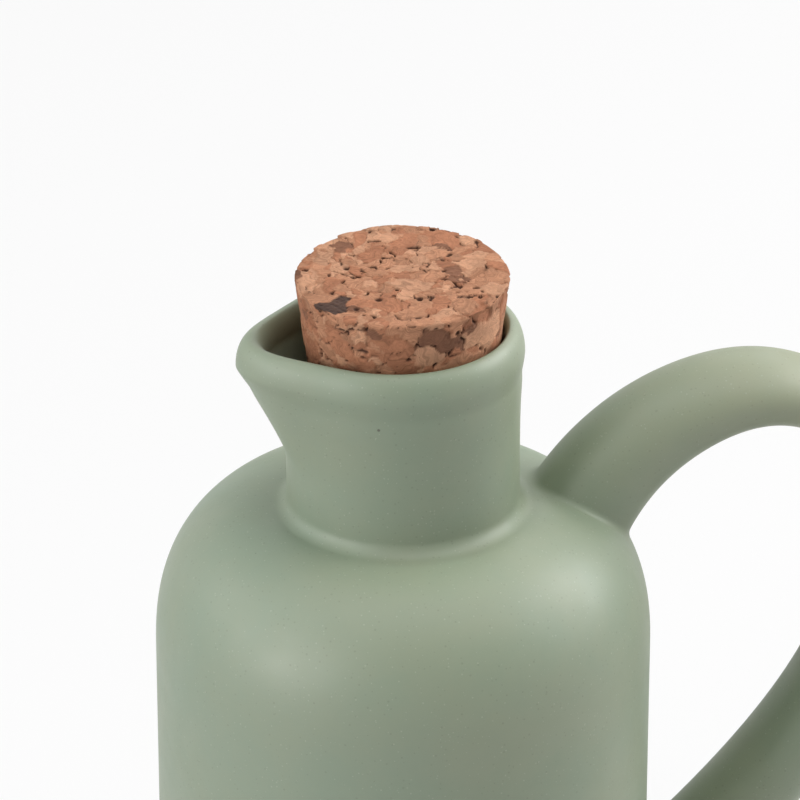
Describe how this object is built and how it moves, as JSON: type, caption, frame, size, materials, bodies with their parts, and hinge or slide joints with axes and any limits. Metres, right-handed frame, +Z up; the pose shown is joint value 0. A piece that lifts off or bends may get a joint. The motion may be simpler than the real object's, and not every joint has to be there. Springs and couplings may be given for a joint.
{
  "type": "oil jug",
  "caption": "Stoneware oil jug with a rounded shoulder, flared neck, pouring spout, loop handle and a tapered cork stopper.",
  "frame": {"origin": "centre of the flat base, on the body's axis", "axes": "+Z up, the pouring spout along -X, the handle along +X"},
  "size_m": [0.1416, 0.09, 0.1585],
  "materials": {
    "stoneware": "satin sage-green glaze",
    "cork": "bare agglomerated cork"
  },
  "bodies": {
    "root": {"jug": "stoneware", "cork": "cork"}
  },
  "joints": []
}
